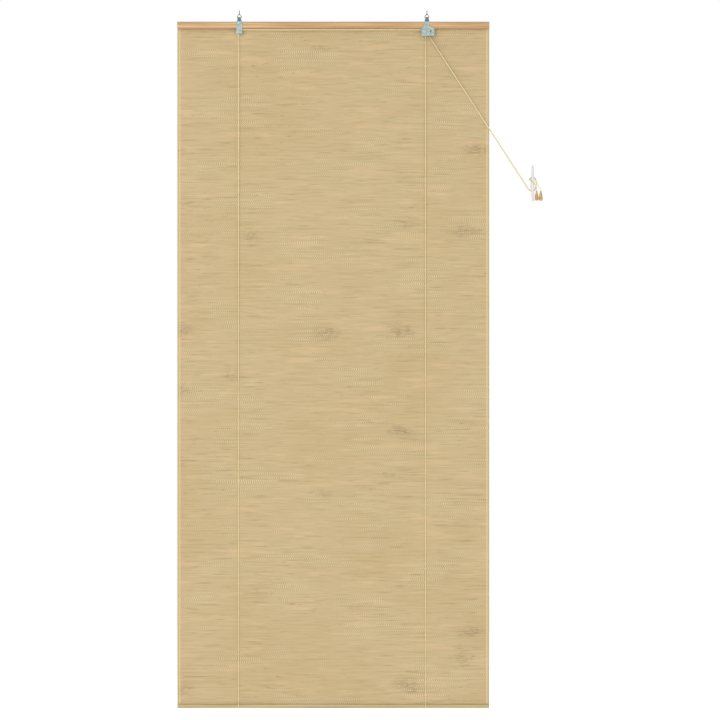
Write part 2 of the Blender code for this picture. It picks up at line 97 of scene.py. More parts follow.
def add(tree, kind, inputs=None, **settings):
    """Adds a node with its settings, and its inputs as plain values or as sockets to link."""
    made = tree.nodes.new("ShaderNode" + kind)
    for key, value in settings.items():
        setattr(made, key, value)
    for socket, value in (inputs or {}).items():
        if isinstance(value, bpy.types.NodeSocket):
            tree.links.new(value, made.inputs[socket])
        else:
            made.inputs[socket].default_value = value
    return made


def new_material(name, **shader_values):
    made = bpy.data.materials.new(name)
    made.use_nodes = True
    shader = made.node_tree.nodes["Principled BSDF"]
    for socket, value in shader_values.items():
        shader.inputs[socket.replace("_", " ")].default_value = value
    return made, made.node_tree, shader


def stretched(tree, scale):
    """Object coordinates scaled on each axis, in pattern units per metre."""
    place = add(tree, "TexCoord").outputs["Object"]
    return add(tree, "Mapping", {"Vector": place, "Scale": scale}).outputs["Vector"]


def noise(tree, scale, detail=2.0, roughness=0.5):
    settings = {"Vector": stretched(tree, scale), "Scale": 1.0, "Detail": detail, "Roughness": roughness}
    return add(tree, "TexNoise", settings).outputs["Fac"]


def ramp(tree, factor, *stops):
    """A colour ramp through (position, hex) stops."""
    made = add(tree, "ValToRGB", {"Fac": factor})
    while len(made.color_ramp.elements) < len(stops):
        made.color_ramp.elements.new(0.5)
    for element, (position, hex_value) in zip(made.color_ramp.elements, stops):
        element.position = position
        element.color = colour(hex_value)
    return made.outputs["Color"]


def calc(tree, operation, first, second=0.0, third=0.0):
    return add(tree, "Math", {0: first, 1: second, 2: third}, operation=operation).outputs[0]


def between(tree, value, low, high):
    """0 below low, 1 above high, and a smooth step between them."""
    inputs = {"Value": value, "From Min": low, "From Max": high}
    return add(tree, "MapRange", inputs, interpolation_type="SMOOTHSTEP").outputs["Result"]


def mixed(tree, factor, first, second):
    return add(tree, "Mix", {0: factor, 6: first, 7: second}, data_type="RGBA").outputs[2]


def tinted(tree, tone, factor, share, hex_value):
    """A tone mixed with a colour: by the given share where the factor is 1, not at all where it is 0."""
    return mixed(tree, calc(tree, "MULTIPLY", factor, share), tone, colour(hex_value))


def bump(tree, shader, height, distance, strength=1.0):
    inputs = {"Height": height, "Distance": distance, "Strength": strength}
    tree.links.new(add(tree, "Bump", inputs).outputs["Normal"], shader.inputs["Normal"])


def position(tree):
    place = add(tree, "TexCoord").outputs["Object"]
    return add(tree, "SeparateXYZ", {"Vector": place}).outputs


def strip_number(tree):
    return calc(tree, "FLOOR", calc(tree, "DIVIDE", position(tree)["Z"], SLAT_PITCH))


def strip_noise(tree, along, detail=0.0):
    """Noise that runs along each bamboo strip and changes abruptly from one strip to the next."""
    x = calc(tree, "MULTIPLY", position(tree)["X"], along)
    z = calc(tree, "MULTIPLY", strip_number(tree), STRIP_STEP)
    place = add(tree, "CombineXYZ", {"X": x, "Z": z}).outputs[0]
    return add(tree, "TexNoise", {"Vector": place, "Scale": 1.0, "Detail": detail}).outputs["Fac"]


def bamboo_slats():
    """Split bamboo, bare and matt: each strip has its own straw tone, long fibre streaks and dark nodes."""
    made, tree, shader = new_material("split_bamboo", Roughness=0.72, Specular_IOR_Level=0.3)
    x = position(tree)["X"]
    straw = strip_noise(tree, 6.0, detail=2.0)
    tone = ramp(tree, straw, (0.30, "#AD956C"), (0.45, "#C1AB81"), (0.58, "#C8B38A"), (0.74, "#D4C099"))
    streak = noise(tree, (16, 3, 700), detail=5.0, roughness=0.7)
    streaks = ramp(tree, streak, (0.32, "#AC946A"), (0.5, "#C4AE85"), (0.68, "#D3BF96"))
    tone = mixed(tree, 0.55, tone, streaks)
    # Slow drift of tone over the mat, warm pale stretches where the inner wood shows, and greyer ones.
    drift = between(tree, noise(tree, (2.6, 0, 4.0), detail=4.0), 0.4, 0.68)
    tone = tinted(tree, tone, drift, 0.24, "#B9A072")
    warm = between(tree, noise(tree, (5.0, 0, 42), detail=3.0), 0.56, 0.66)
    tone = tinted(tree, tone, warm, 0.4, "#D8B990")
    grey = between(tree, noise(tree, (9.0, 1, 70), detail=3.0), 0.56, 0.72)
    tone = tinted(tree, tone, grey, 0.3, "#B3A183")
    # Thin dark lines, one strip high and a few centimetres long, where neighbouring strips gape.
    line = between(tree, strip_noise(tree, 10.0, detail=2.0), 0.59, 0.72)
    tone = tinted(tree, tone, line, 0.4, "#998359")
    # Nodes of the cane: short dark dashes, about 15 mm long, on one or two strips, gathered in places.
    dash = between(tree, noise(tree, (26, 0, 150), detail=3.0, roughness=0.65), 0.60, 0.72)
    sparse = between(tree, noise(tree, (3.5, 0, 4.5), detail=1.0), 0.5, 0.64)
    dash = calc(tree, "MULTIPLY", calc(tree, "MULTIPLY", dash, sparse), 0.65)
    tone = mixed(tree, dash, tone, colour("#8A7453"))
    # Knots: patches some 60 mm wide and 30 mm tall of crisp dark dashes, one strip high and 10 to 20 mm long.
    cells = add(tree, "TexVoronoi", {"Vector": stretched(tree, (4.2, 0, 8.5)), "Scale": 1.0})
    lot = add(tree, "SeparateColor", {"Color": cells.outputs["Color"]}).outputs
    uneven = calc(tree, "MULTIPLY_ADD", noise(tree, (18, 0, 60), detail=2.0), 0.3, cells.outputs["Distance"])
    patch = calc(tree, "MULTIPLY", between(tree, uneven, 0.42, 0.16), between(tree, lot[0], 0.25, 0.9))
    fleck = calc(tree, "MULTIPLY", between(tree, noise(tree, (60, 0, 400), detail=3.0), 0.45, 0.60), patch)
    knot_tone = calc(tree, "MULTIPLY_ADD", fleck, 0.8, calc(tree, "MULTIPLY", patch, 0.08))
    tone = mixed(tree, knot_tone, tone, colour("#8F7B5D"))
    # Warp thread stitches, seen only on the rows where the thread lies on top, each row in its own step.
    lottery = add(tree, "TexWhiteNoise", {"W": strip_number(tree)}, noise_dimensions="1D").outputs[0]
    step = calc(tree, "MULTIPLY", lottery, STITCH_SPREAD)
    stitch = calc(tree, "SINE", calc(tree, "MULTIPLY_ADD", x, 2 * math.pi / STITCH_PITCH, step))
    rows = calc(tree, "MULTIPLY", between(tree, strip_noise(tree, 5.0), 0.50, 0.58),
                between(tree, noise(tree, (5.0, 0, 11.0), detail=2.0), 0.49, 0.58))
    thread = calc(tree, "MULTIPLY", between(tree, stitch, 0.1, 0.9), rows)
    tone = tinted(tree, tone, thread, 0.5, "#E6D7B1")
    gaps = calc(tree, "MULTIPLY", between(tree, stitch, -0.3, -0.95), rows)
    tone = tinted(tree, tone, gaps, 0.5, "#9A855C")
    # Selvedge: a pale binding thread runs down 3.5 to 11 mm from each cut end. The ends are greyer.
    across = calc(tree, "ABSOLUTE", x)
    binding = calc(tree, "MULTIPLY", between(tree, across, MAT_EDGE - 11.0 * MM, MAT_EDGE - 9.5 * MM),
                   between(tree, across, MAT_EDGE - 3.5 * MM, MAT_EDGE - 5.0 * MM))
    tone = tinted(tree, tone, binding, 0.5, "#DFC892")
    ends = between(tree, across, MAT_EDGE - 3.5 * MM, MAT_EDGE - 1.5 * MM)
    tone = tinted(tree, tone, ends, 0.5, "#B3A183")
    tree.links.new(tone, shader.inputs["Base Color"])
    height = calc(tree, "ADD", calc(tree, "MULTIPLY", streak, 0.7), calc(tree, "MULTIPLY", thread, 0.6))
    bump(tree, shader, height, 0.25 * MM, 0.6)
    return made


def batten_wood(name, dark, middle, light, roughness, edges=None):
    """Straight-grained softwood batten: long fine lines of grain, and a darker stain on its edges."""
    made, tree, shader = new_material(name, Roughness=roughness, Specular_IOR_Level=0.35)
    grain = noise(tree, (4, 230, 230), detail=4.0, roughness=0.6)
    broad = noise(tree, (2.5, 70, 70), detail=2.0)
    value = calc(tree, "MULTIPLY_ADD", grain, 0.6, calc(tree, "MULTIPLY", broad, 0.4))
    tone = ramp(tree, value, (0.38, dark), (0.5, middle), (0.62, light))
    pores = between(tree, noise(tree, (60, 1500, 1500), detail=1.0), 0.62, 0.74)
    tone = tinted(tree, tone, pores, 0.4, dark)
    if edges:
        low, high, top_tone, foot_tone = edges
        z = position(tree)["Z"]
        for factor, hex_value in ((between(tree, z, high - 4.5 * MM, high - 2.0 * MM), top_tone),
                                  (between(tree, z, low + 5.5 * MM, low + 2.5 * MM), foot_tone)):
            tone = tinted(tree, tone, factor, 0.7, hex_value)
    tree.links.new(tone, shader.inputs["Base Color"])
    bump(tree, shader, grain, 0.15 * MM, 0.6)
    return made


def turned_wood():
    """Lathe-turned hardwood with a thin lacquer: grain runs along the axis, fine tool rings run round it."""
    made, tree, shader = new_material("turned_hardwood", Roughness=0.38, Coat_Weight=0.25, Coat_Roughness=0.2)
    grain = noise(tree, (420, 420, 60), detail=4.0, roughness=0.6)
    tone = ramp(tree, grain, (0.3, "#A47C44"), (0.5, "#C39C5E"), (0.7, "#DAB87A"))
    tree.links.new(tone, shader.inputs["Base Color"])
    rings = calc(tree, "SINE", calc(tree, "MULTIPLY", position(tree)["Z"], 2 * math.pi / TOOL_RING))
    bump(tree, shader, calc(tree, "ADD", grain, calc(tree, "MULTIPLY", rings, 0.1)), 0.1 * MM, 0.4)
    return made


def galvanised_steel():
    """Pressed zinc-coated sheet: blue-grey crystals about 3 mm across, dull bloom and soft scratches."""
    made, tree, shader = new_material("galvanised_sheet", Metallic=0.55, Roughness=0.5)
    cells = add(tree, "TexVoronoi", {"Vector": stretched(tree, (330, 330, 330)), "Scale": 1.0})
    value = add(tree, "SeparateColor", {"Color": cells.outputs["Color"]}).outputs[0]
    tone = ramp(tree, value, (0.0, "#94A8A6"), (0.5, "#AABBB8"), (1.0, "#BFCECA"))
    bloom = between(tree, noise(tree, (160, 160, 160), detail=4.0), 0.45, 0.7)
    tone = tinted(tree, tone, bloom, 0.35, "#93A7A8")
    # Painted shade: the folded top is tilted away from the light, so it is painted darker, greenish grey.
    painted_tilt_shade = between(tree, position(tree)["Z"], HEAD_TOP - 0.5 * MM, HEAD_TOP + 3 * MM)
    tone = tinted(tree, tone, painted_tilt_shade, 0.75, "#5E6D69")
    tree.links.new(tone, shader.inputs["Base Color"])
    rough = add(tree, "MapRange", {"Value": value, "To Min": 0.36, "To Max": 0.55}).outputs["Result"]
    tree.links.new(rough, shader.inputs["Roughness"])
    bump(tree, shader, noise(tree, (900, 900, 300), detail=2.0), 0.03 * MM, 0.5)
    return made


def drawn_wire():
    """Drawn and plated steel wire: grey, with faint lines along it and a little tarnish."""
    made, tree, shader = new_material("plated_wire", Metallic=0.9, Roughness=0.35)
    spots = noise(tree, (500, 500, 500), detail=3.0)
    tone = ramp(tree, spots, (0.35, "#3C4245"), (0.55, "#535A5D"), (0.75, "#70777A"))
    tree.links.new(tone, shader.inputs["Base Color"])
    bump(tree, shader, noise(tree, (2500, 2500, 200), detail=1.0), 0.02 * MM, 0.5)
    return made


def pressed_brass():
    """Pressed brass, dulled by handling: warm yellow with brown film in patches."""
    made, tree, shader = new_material("pressed_brass", Metallic=1.0, Roughness=0.34)
    film = noise(tree, (600, 600, 600), detail=3.0)
    tone = ramp(tree, film, (0.35, "#A8843F"), (0.55, "#C8A458"), (0.75, "#DABE78"))
    tree.links.new(tone, shader.inputs["Base Color"])
    bump(tree, shader, film, 0.02 * MM, 0.4)
    return made


def white_plastic():
    """Injection-moulded polypropylene, slightly grey white: a fine even texture and a soft gloss."""
    made, tree, shader = new_material("moulded_polypropylene", Roughness=0.42, IOR=1.49)
    mottle = noise(tree, (300, 300, 120), detail=3.0)
    tone = ramp(tree, mottle, (0.3, "#CFD0D4"), (0.55, "#D9DADE"), (0.8, "#E1E2E5"))
    # The tips of the horns are rubbed and a little darker.
    low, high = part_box("cleat")
    middle, half = (low.z + high.z) / 2, (high.z - low.z) / 2
    reach = calc(tree, "ABSOLUTE", calc(tree, "SUBTRACT", position(tree)["Z"], middle))
    tip = between(tree, reach, half * 0.88, half)
    tone = tinted(tree, tone, tip, 0.5, "#A9AAAE")
    tree.links.new(tone, shader.inputs["Base Color"])
    bump(tree, shader, noise(tree, (3000, 3000, 3000), detail=1.0), 0.02 * MM, 0.35)
    return made


def braided_cord(name, dark, light):
    """Braided polyester-cotton cord: two sets of strands run round it in opposite ways and cross."""
    made, tree, shader = new_material(name, Roughness=0.8, Sheen_Weight=0.3, Sheen_Roughness=0.5)
    uv = add(tree, "SeparateXYZ", {"Vector": add(tree, "TexCoord").outputs["UV"]}).outputs
    turns, along = uv["X"], calc(tree, "MULTIPLY", uv["Y"], 1 / STRAND_PITCH)
    waves = []
    for sign in (1, -1):
        phase = calc(tree, "MULTIPLY_ADD", turns, 4.0 * sign, calc(tree, "MULTIPLY", along, 0.5))
        waves.append(calc(tree, "SINE", calc(tree, "MULTIPLY", phase, 2 * math.pi)))
    strands = calc(tree, "MAXIMUM", waves[0], waves[1])
    tone = mixed(tree, between(tree, strands, -0.2, 0.9), colour(dark), colour(light))
    soil = noise(tree, (40, 40, 40), detail=2.0)
    tone = tinted(tree, tone, soil, 0.3, dark)
    # Painted light: the run between the hangers lies in the shade under the rail, so it is painted a pale,
    # bright yellow.
    painted_light_near_rail = between(tree, position(tree)["Z"], HEAD_TOP - 29 * MM, HEAD_TOP - 27.5 * MM)
    tone = mixed(tree, painted_light_near_rail, tone, colour("#FFF2B8"))
    tree.links.new(tone, shader.inputs["Base Color"])
    bump(tree, shader, strands, 0.18 * MM, 0.8)
    return made


BAMBOO = bamboo_slats()
RAIL_EDGES = (HEAD_LOW.z, HEAD_HIGH.z, "#A68D6F", "#B48B5D")
RED_WOOD = batten_wood("stained_softwood", "#AA8359", "#C69F74", "#DEB98C", 0.5, RAIL_EDGES)
PALE_WOOD = batten_wood("bare_softwood", "#A08A60", "#B8A277", "#C6B188", 0.6)
TURNED = turned_wood()
ZINC = galvanised_steel()
WIRE = drawn_wire()
BRASS = pressed_brass()
PLASTIC = white_plastic()
LIFT_CORD = braided_cord("braided_lift_cord", "#DCC787", "#F8EAB6")
PULL_CORD = braided_cord("braided_pull_cord", "#D4C48C", "#F6EABA")


# ---------------------------------------------------------------- making pieces
def deselect():
    bpy.ops.object.select_all(action="DESELECT")


def active(obj):
    deselect()
    obj.select_set(True)
    bpy.context.view_layer.objects.active = obj


def settle(obj, name, look):
    """Puts a piece's place into its mesh, names it and gives it its material."""
    active(obj)
    bpy.ops.object.transform_apply(location=True, rotation=True, scale=True)
    obj.name = name
    obj.data.name = name
    obj.data.materials.clear()
    obj.data.materials.append(look)
    return obj


def apply_all(obj):
    active(obj)
    for modifier in list(obj.modifiers):
        bpy.ops.object.modifier_apply(modifier=modifier.name)


def rounded_block(name, low, high, edge, look):
    """A block between two corners with its edges rounded."""
    deselect()
    bpy.ops.mesh.primitive_cube_add(size=1, location=(Vector(low) + Vector(high)) / 2)
    block = bpy.context.active_object
    block.scale = Vector(high) - Vector(low)
    bpy.ops.object.transform_apply(location=False, rotation=False, scale=True)
    bpy.ops.object.mode_set(mode="EDIT")
    bpy.ops.mesh.select_all(action="SELECT")
    bpy.ops.mesh.bevel(offset=edge, segments=3, affect="EDGES")
    bpy.ops.object.mode_set(mode="OBJECT")
    settle(block, name, look)
    bpy.ops.object.shade_smooth_by_angle(angle=math.radians(40))
    return block


def slats(name, top, foot):
    """A stretch of mat: one bevelled bamboo strip across the width, repeated down to the foot."""
    count = max(1, round((top - foot) / SLAT_PITCH))
    pitch = (top - foot) / count
    low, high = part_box("mat_upper")
    deselect()
    bpy.ops.mesh.primitive_cube_add(size=1, location=(0, (low.y + high.y) / 2, top - pitch / 2))
    slat = bpy.context.active_object
    # The warp pulls neighbours tight against each other, so no light comes through.
    slat.scale = (high.x - low.x, high.y - low.y, pitch)
    bpy.ops.object.transform_apply(location=True, rotation=True, scale=True)
    bpy.ops.object.mode_set(mode="EDIT")
    bpy.ops.mesh.select_all(action="SELECT")
    bpy.ops.mesh.bevel(offset=SLAT_EDGE, segments=1, affect="EDGES")
    bpy.ops.object.mode_set(mode="OBJECT")
    copies = slat.modifiers.new("strips", "ARRAY")
    copies.count = count
    copies.use_relative_offset = False
    copies.use_constant_offset = True
    copies.constant_offset_displace = (0, 0, -pitch)
    apply_all(slat)
    return settle(slat, name, BAMBOO)


def tube(name, path, radius, look, sides=10, closed=False):
    """A round cord or wire along a path. Its UV map runs in turns round it and in metres along it."""
    path = [Vector(point) for point in path]
    count = len(path)
    tangents = []
    for k in range(count):
        before = path[(k - 1) % count] if closed or k else path[0]
        after = path[(k + 1) % count] if closed or k < count - 1 else path[-1]
        tangents.append((after - before).normalized())
    start = Vector((1, 0, 0)) if abs(tangents[0].x) < 0.8 else Vector((0, 1, 0))
    across = (start - tangents[0] * start.dot(tangents[0])).normalized()
    points, lengths, total = [], [], 0.0
    for k, (point, tangent) in enumerate(zip(path, tangents)):
        across = (across - tangent * across.dot(tangent)).normalized()
        up = tangent.cross(across)
        total += (point - path[k - 1]).length if k else 0.0
        lengths.append(total)
        for side in range(sides):
            angle = 2 * math.pi * side / sides
            points.append(point + radius * (math.cos(angle) * across + math.sin(angle) * up))
    faces, coords = [], []
    for k in range(count if closed else count - 1):
        for side in range(sides):
            here, there = k * sides, ((k + 1) % count) * sides
            other = (side + 1) % sides
            faces.append((here + side, here + other, there + other, there + side))
            v, w = lengths[k], lengths[k + 1] if k + 1 < count else total + (path[0] - path[-1]).length
            left, right = side / sides, (side + 1) / sides
            coords += [(left, v), (right, v), (right, w), (left, w)]
    if not closed:
        faces.append(tuple(reversed(range(sides))))
        faces.append(tuple(range((count - 1) * sides, count * sides)))
        coords += [(0.5, 0.0)] * sides + [(0.5, total)] * sides
    mesh = bpy.data.meshes.new(name)
    mesh.from_pydata(points, [], faces)
    layer = mesh.uv_layers.new(name="UVMap")
    for slot, coord in zip(layer.data, coords):
        slot.uv = coord
    mesh.materials.append(look)
    mesh.shade_smooth()
    made = bpy.data.objects.new(name, mesh)
    bpy.context.scene.collection.objects.link(made)
    return made


def join(name, pieces):
    active(pieces[0])
    for piece in pieces:
        piece.select_set(True)
    if len(pieces) > 1:
        bpy.ops.object.join()
    pieces[0].name = name
    pieces[0].data.name = name
    return pieces[0]


def turned(name, profile, top, look, sides=40):
    """A piece turned round Z: a disc extruded and resized through (radius, height) steps below its top."""
    deselect()
    first_radius, first_height = profile[0]
    place = Vector(top) + Vector((0, 0, first_height))
    bpy.ops.mesh.primitive_circle_add(vertices=sides, radius=first_radius, fill_type="NGON", location=place)
    piece = bpy.context.active_object
    bpy.ops.object.mode_set(mode="EDIT")
    bpy.ops.mesh.select_all(action="SELECT")
    for (radius, height), (next_radius, next_height) in zip(profile, profile[1:]):
        drop = next_height - height
        bpy.ops.mesh.extrude_region_move(TRANSFORM_OT_translate={"value": (0, 0, drop)})
        share = next_radius / radius
        centre = Vector(top) + Vector((0, 0, next_height))
        bpy.ops.transform.resize(value=(share, share, 1), center_override=centre)
    bpy.ops.mesh.select_all(action="SELECT")
    bpy.ops.mesh.normals_make_consistent(inside=False)
    bpy.ops.object.mode_set(mode="OBJECT")
    settle(piece, name, look)
    bpy.ops.object.shade_smooth_by_angle(angle=math.radians(35))
    return piece


def arc(centre, radius, start, end, steps):
    """Points (u, v) round a circle, from one angle to another in degrees."""
    angles = [math.radians(start + (end - start) * k / steps) for k in range(steps + 1)]
    return [(centre[0] + radius * math.cos(a), centre[1] + radius * math.sin(a)) for a in angles]


def smooth(route, spacing):
    """Points along a Catmull-Rom curve through a route, about the given distance apart."""
    ends = [2 * route[0] - route[1], *route, 2 * route[-1] - route[-2]]
    points = []
    for k in range(1, len(ends) - 2):
        a, b, c, d = ends[k - 1 : k + 3]
        steps = max(1, round((c - b).length / spacing))
        for n in range(steps):
            t = n / steps
            along = 2 * b + (c - a) * t + (2 * a - 5 * b + 4 * c - d) * t**2 + (3 * b - a - 3 * c + d) * t**3
            points.append(0.5 * along)
    points.append(route[-1])
    return points


def middle_of(node):
    low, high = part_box(node)
    return (low + high) / 2


# ---------------------------------------------------------------- pull cords
CLEAT = middle_of("cleat")
CLEAT_PLACE = Vector((CLEAT.x, 0, CLEAT.z))
GUIDE = middle_of("guide_pin")
GUIDE_R = 3.2 * MM
GUIDE_BEND = GUIDE_R + CORD_R + CORD_GAP
EXIT_TURN = 33.0  # degrees from straight down to the way the pull cords leave
EXIT_WAY = Vector((math.sin(math.radians(EXIT_TURN)), 0, -math.cos(math.radians(EXIT_TURN))))
REAR_ASIDE = 2.6  # millimetres that the rear cord lies aside of the front one on the cleat
STRAIGHT_STEPS = 12
BEND_SHARE = 0.985  # how far along its straight run the cord begins to turn round the cleat
ROUTE_SPACING = 1.6 * MM

# Where the front cord goes at the cleat, in millimetres from its middle, and which way (x, z) the rear one
# lies aside of it.
CLEAT_STOPS = [
    ((-13.6, -3.0, -15.6), (-0.8, -0.6)), ((-7.0, 2.0, -21.0), (-0.2, -1.0)),
    ((0.0, 3.5, -22.6), (0.0, -1.0)), ((7.0, 1.0, -18.0), (0.6, -0.8)),
    ((9.0, -5.5, -12.0), (1.0, 0.0)), ((8.6, -12.4, -7.0), (1.0, 0.2)),
    ((5.0, -14.8, -2.5), (0.8, 0.6)), ((0.0, -14.9, 1.5), (0.8, 0.6)),
    ((-6.5, -14.9, 6.5), (0.8, 0.6)), ((-11.0, -11.8, 10.5), (1.0, 0.2)),
    ((-11.2, -5.0, 13.5), (1.0, 0.0)), ((-7.5, 1.0, 18.5), (0.6, -0.8)),
    ((0.0, 3.5, 22.6), (0.0, -1.0)), ((7.6, 1.0, 18.0), (-0.6, -0.8)),
    ((11.8, -5.0, 10.0), (-1.1, 0.0)), ((15.5, -9.0, -4.0), (-1.4, 0.0)),
]

# An acorn's outline as (radius, height) in millimetres, down from the top of its collar.
ACORN = [
    (1.9, 0.0), (2.5, -0.1), (3.1, -0.8), (3.2, -1.6), (2.8, -2.8), (2.8, -4.0), (3.3, -5.8), (4.0, -8.5),
    (4.6, -11.0), (5.3, -14.0), (5.8, -17.0), (6.2, -20.0), (6.38, -22.4), (6.05, -22.8), (6.05, -23.4),
    (6.38, -23.8), (6.35, -25.5), (6.0, -27.6), (5.2, -29.0), (4.0, -30.1), (2.4, -30.65), (1.0, -30.78),
]


def exit_bend(y):
    """Round the guide pin to the foot of the right-hand hanger."""
    bend = arc((GUIDE.x, GUIDE.z), GUIDE_BEND, 180, 180 + EXIT_TURN, 6)
    out = Vector((bend[-1][0], y, bend[-1][1])) + 3.0 * MM * EXIT_WAY
    return [Vector((px, y, pz)) for px, pz in bend] + [out]


def pull_route(y, aside, tail):
    """From the hanger to the cleat, once round its horns as a figure of eight, and down to an acorn."""
    route = []
    for (px, py, pz), (side_x, side_z) in CLEAT_STOPS:
        route.append(CLEAT_PLACE + Vector((px + aside * side_x, py, pz + aside * side_z)) * MM)
    start = exit_bend(y)[-1]
    straight = [start.lerp(route[0], k / STRAIGHT_STEPS) for k in range(STRAIGHT_STEPS)]
    bend = start.lerp(route[0], BEND_SHARE)
    return straight + smooth([bend, *route, tail + Vector((0, 0, 6 * MM)), tail], ROUTE_SPACING)


def acorn(name, node):
    """Turned wooden pull: a collar at the cord, a waist and a full rounded foot with a shallow groove."""
    low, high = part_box(node)
    centre = (low + high) / 2
    steps = [(radius * MM, height * MM) for radius, height in ACORN]
    piece = turned(name, steps, (centre.x, centre.y, high.z), TURNED)
    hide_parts(node)
    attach(piece, "building")
    return piece


def pull_cord(name, y, aside):
    acorn_piece = acorn(f"{name}_acorn", f"acorn_{name}")
    low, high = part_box(f"acorn_{name}")
    tail = Vector(((low.x + high.x) / 2, (low.y + high.y) / 2, high.z + CORD_GAP))
    path = pull_route(y, aside, tail)
    cord = tube(f"pull_cord_{name}_braid", path, CORD_R, PULL_CORD)
    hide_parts(f"pull_cord_{name}")
    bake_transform(cord)


FRONT_Y = middle_of("sheave_right_front").y
REAR_Y = middle_of("sheave_right_rear").y
pull_cord("front", FRONT_Y, 0.0)
pull_cord("rear", REAR_Y, REAR_ASIDE)


# ---------------------------------------------------------------- camera, light and stage
FRAME_W = 2.309  # metres across the camera's view, at the blind
VIEW = Vector((0.0856, 0, HEAD_TOP - 1.0836))
LENS = 135.0
SENSOR = 36.0
ROOM_LIGHT = 0.70
FLOOR_GLOW = 0.42
FLOOR_DROP = 0.35

camera_data = bpy.data.cameras.new("camera")
camera_data.lens = LENS
camera_data.sensor_width = SENSOR
camera = bpy.data.objects.new("camera", camera_data)
camera.location = VIEW + Vector((0, -FRAME_W * LENS / SENSOR, 0))
camera.rotation_euler = (math.radians(90), 0, 0)
bpy.context.scene.collection.objects.link(camera)
bpy.context.scene.camera = camera


def soft_light(name, place, size, power):
    data = bpy.data.lights.new(name, "AREA")
    data.shape = "SQUARE"
    data.size = size
    data.energy = power
    lamp = bpy.data.objects.new(name, data)
    lamp.location = place
    lamp.rotation_euler = (VIEW - Vector(place)).to_track_quat("-Z", "Y").to_euler()
    bpy.context.scene.collection.objects.link(lamp)


soft_light("key", (-2.6, -4.0, 1.2), 2.5, 74)
soft_light("fill", (3.4, -3.6, -0.6), 3.0, 30)
soft_light("back", (0.5, 3.5, 0.6), 2.5, 35)

# The room behind the blind is white to look at, and dimmer as a light, so that white pieces keep their shape.
world = bpy.data.worlds.new("studio")
world.use_nodes = True
background = world.node_tree.nodes["Background"]
background.inputs["Color"].default_value = (1, 1, 1, 1)
seen = add(world.node_tree, "LightPath").outputs["Is Camera Ray"]
strength = calc(world.node_tree, "MULTIPLY_ADD", seen, 1.0 - ROOM_LIGHT, ROOM_LIGHT)
world.node_tree.links.new(strength, background.inputs["Strength"])
bpy.context.scene.world = world
bpy.context.scene.view_settings.view_transform = "Standard"

paint, _, paint_shader = new_material("pale_floor_paint", Roughness=0.9)
paint_shader.inputs["Base Color"].default_value = colour("#F2F2F2")
paint_shader.inputs["Emission Color"].default_value = (1, 1, 1, 1)
paint_shader.inputs["Emission Strength"].default_value = FLOOR_GLOW
deselect()
bpy.ops.mesh.primitive_plane_add(size=12, location=(0, 0, cad_bounds[0][2] - FLOOR_DROP))
floor = settle(bpy.context.active_object, "floor", paint)


# ---------------------------------------------------------------- mat
def mat_piece(piece, body, *nodes):
    if nodes:
        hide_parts(*nodes)
    if body:
        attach(piece, body)
    return piece


mat_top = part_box("mat_head")[1].z
mat_piece(slats("mat_head_slats", mat_top, UPPER_HIGH.z), "headrail", "mat_head")
upper = mat_piece(slats("mat_upper_slats", UPPER_HIGH.z, LEADER_HIGH.z), "headrail", "mat_upper")
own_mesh(upper)

# Stretches run between the middles of neighbouring strips.
levels = [(LEADER_LOW.z + LEADER_HIGH.z) / 2] + [middle_of(name).z for name in STRIPS]
bodies = ["carrier"] + [name.replace("mat_", "") for name in STRIPS]
leader = slats("mat_leader_slats", LEADER_HIGH.z, levels[0])
mat_piece(leader, "carrier", "mat_leader")
for k, name in enumerate(STRIPS):
    stretch = slats(f"{name}_slats", levels[k], levels[k + 1])
    mat_piece(stretch, None, name)
    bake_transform(stretch)
mat_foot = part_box(STRIPS[-1])[0].z
mat_piece(slats("mat_foot_slats", levels[-1], mat_foot), bodies[-1])

foot_low, foot_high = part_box("foot_batten")
foot = rounded_block("foot_batten_wood", foot_low, foot_high, 1.0 * MM, PALE_WOOD)
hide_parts("foot_batten")
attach(foot, bodies[-1])

# ---------------------------------------------------------------- headrail
rail = rounded_block("headrail_wood", HEAD_LOW, HEAD_HIGH, 1.3 * MM, RED_WOOD)
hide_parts("headrail")
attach(rail, "headrail")


# ---------------------------------------------------------------- lift cords
BACK_Y = UPPER_HIGH.y + CORD_R + CORD_GAP
NEAR_Y = UPPER_LOW.y - CORD_R - CORD_GAP
PITCH_R = 4.5 * MM  # from an axle to the middle of the cord on its sheave
FOOT_BEND = 2.2 * MM
KNOT_STEPS = 60
LEFT_AXLE, RIGHT_AXLE = middle_of("sheave_left"), middle_of("sheave_right_front")
CORD_X = {"left": LEFT_AXLE.x - PITCH_R, "right": RIGHT_AXLE.x - PITCH_R}
SLANT_TOP = HEAD_TOP - 120 * MM
SLANT_FOOT = LEADER_HIGH.z - 40 * MM


def front_y(side, z):
    """The front run leans out from the mat to its sheave."""
    top = FRONT_Y if side == "left" else REAR_Y
    if z >= SLANT_TOP:
        return top
    if z <= SLANT_FOOT:
        return NEAR_Y
    return NEAR_Y + (top - NEAR_Y) * (z - SLANT_FOOT) / (SLANT_TOP - SLANT_FOOT)


def runs(name, top, foot, spacing):
    """Both runs, down the back and up the front, of both lift cords between two heights."""
    steps = max(2, round((top - foot) / spacing))
    heights = [top + (foot - top) * k / steps for k in range(steps + 1)]
    pieces = []
    for side, x in CORD_X.items():
        for face in ("back", "front"):
            path = [(x, BACK_Y if face == "back" else front_y(side, z), z) for z in heights]
            pieces.append(tube(f"{name}_{side}_{face}", path, CORD_R, LIFT_CORD, sides=8))
    made = join(name, pieces)
    return made


